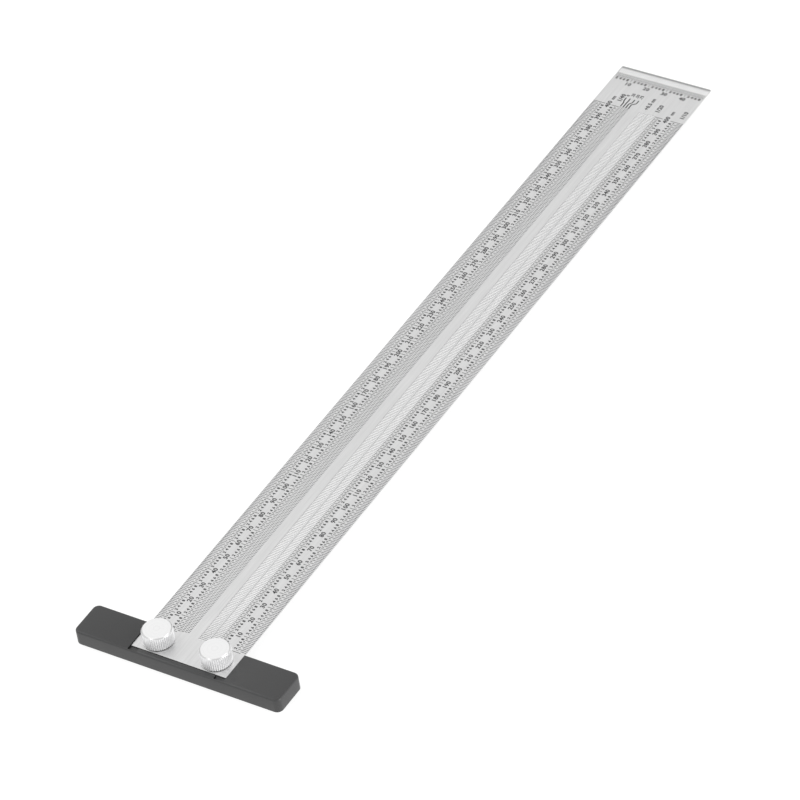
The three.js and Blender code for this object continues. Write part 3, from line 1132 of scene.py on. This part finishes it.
def area_light(name, position, target, size, power):
    """A rectangular light that points at its target."""
    data = bpy.data.lights.new(name, "AREA")
    data.shape = "RECTANGLE"
    data.size, data.size_y = size
    data.energy = power
    light = bpy.data.objects.new(name, data)
    light.location = position
    aim = Vector(target) - Vector(position)
    light.rotation_euler = aim.to_track_quat("-Z", "Y").to_euler()
    bpy.context.scene.collection.objects.link(light)


def add_lights():
    """The four lights and the white room round the table."""
    for light in LIGHTS:
        area_light(*light)
    world = bpy.data.worlds.new("white_room")
    world.use_nodes = True
    background = world.node_tree.nodes["Background"]
    background.inputs["Color"].default_value = (1, 1, 1, 1)
    background.inputs["Strength"].default_value = ROOM_BRIGHTNESS
    bpy.context.scene.world = world


def add_camera():
    """The main camera, turned by its roll about the line of sight."""
    azimuth, elevation = math.radians(CAMERA_AZIMUTH), math.radians(CAMERA_ELEVATION)
    back = Vector((
        math.sin(azimuth) * math.cos(elevation),
        -math.cos(azimuth) * math.cos(elevation),
        math.sin(elevation),
    ))
    data = bpy.data.cameras.new("camera")
    data.lens = CAMERA_LENS
    data.sensor_width = SENSOR_WIDTH
    data.clip_start, data.clip_end = CAMERA_CLIP
    camera = bpy.data.objects.new("camera", data)
    camera.location = CAMERA_TARGET + back * CAMERA_DISTANCE
    level = (-back).to_track_quat("-Z", "Y").to_matrix().to_4x4()
    roll = Matrix.Rotation(math.radians(CAMERA_ROLL), 4, "Z")
    camera.rotation_mode = "QUATERNION"
    camera.rotation_quaternion = (level @ roll).to_quaternion()
    bpy.context.scene.collection.objects.link(camera)
    bpy.context.scene.camera = camera


# ---------------------------------------------------------------- assembly

def dress(piece, body, node):
    """A piece that rides on a body and shows in place of a CAD node."""
    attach(piece, body)
    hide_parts(node)


def add_head(body):
    """The head bar."""
    dress(head_bar(head_plastic(), recess_plastic()), body, "head_bar")


def add_blade(body):
    """The perforated blade and the scales printed on it."""
    steel = blade_steel()
    # The wall tints are painted light and shade: near-white on the long slots' side walls as painted
    # light, darker on the short walls and near-black on the end seated in the head as painted shade.
    short_wall_painted_shade = slot_wall("short_slot_wall_painted_shade", (0.42, 0.42, 0.425), 0.05 * MM)
    long_wall_painted_light = slot_wall("long_slot_wall_painted_light", (0.93, 0.93, 0.93), 0.14 * MM)
    seated_end_painted_shade = slot_wall("sheared_end", (0.07, 0.07, 0.072), 0.05 * MM)
    blade = steel_blade(steel, short_wall_painted_shade, long_wall_painted_light, seated_end_painted_shade)
    dress(blade, body, "blade")
    marks = scale_marks(scale_black())
    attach(marks, body)


def add_thumbscrews():
    """Both screws, each a knob on a stud with its washer, and the inserts that hold them."""
    knob_radius, _, _ = screw_part("left", "thumb_knob")
    turned_face = knob_aluminium("knob_turned_aluminium", 1.0)
    knurled = knurl_aluminium(knob_radius)
    # Painted shade: the chamfer is a darker copy of the turned aluminium.
    chamfer = knob_aluminium("knob_chamfer_painted_shade", 0.74)
    stud_steel = zinc_steel("stud_zinc_steel", (0.50, 0.51, 0.53))
    washer_steel = zinc_steel("washer_zinc_steel", (0.46, 0.47, 0.49))
    brass = insert_brass()
    for side in SIDES:
        screw = f"{side}_screw"
        knob = thumb_knob(side, turned_face, knurled, chamfer)
        dress(knob, screw, f"{side}_thumb_knob")
        dress(threaded_stud(side, stud_steel), screw, f"{side}_threaded_stud")
        washer = flat_washer(side, washer_steel)
        dress(washer, f"{side}_washer", f"{side}_washer")
        insert = frame["nodes"][f"{side}_threaded_insert"]
        insert.data.materials.clear()
        insert.data.materials.append(brass)


bodies = frame["record"]["behaviour"]["bodies"]
root = next(name for name, nodes in bodies.items() if "blade" in nodes)
add_camera()
add_head(root)
add_blade(root)
add_thumbscrews()
add_floor(floor_paper())
add_lights()
bpy.context.scene.view_settings.view_transform = "Standard"
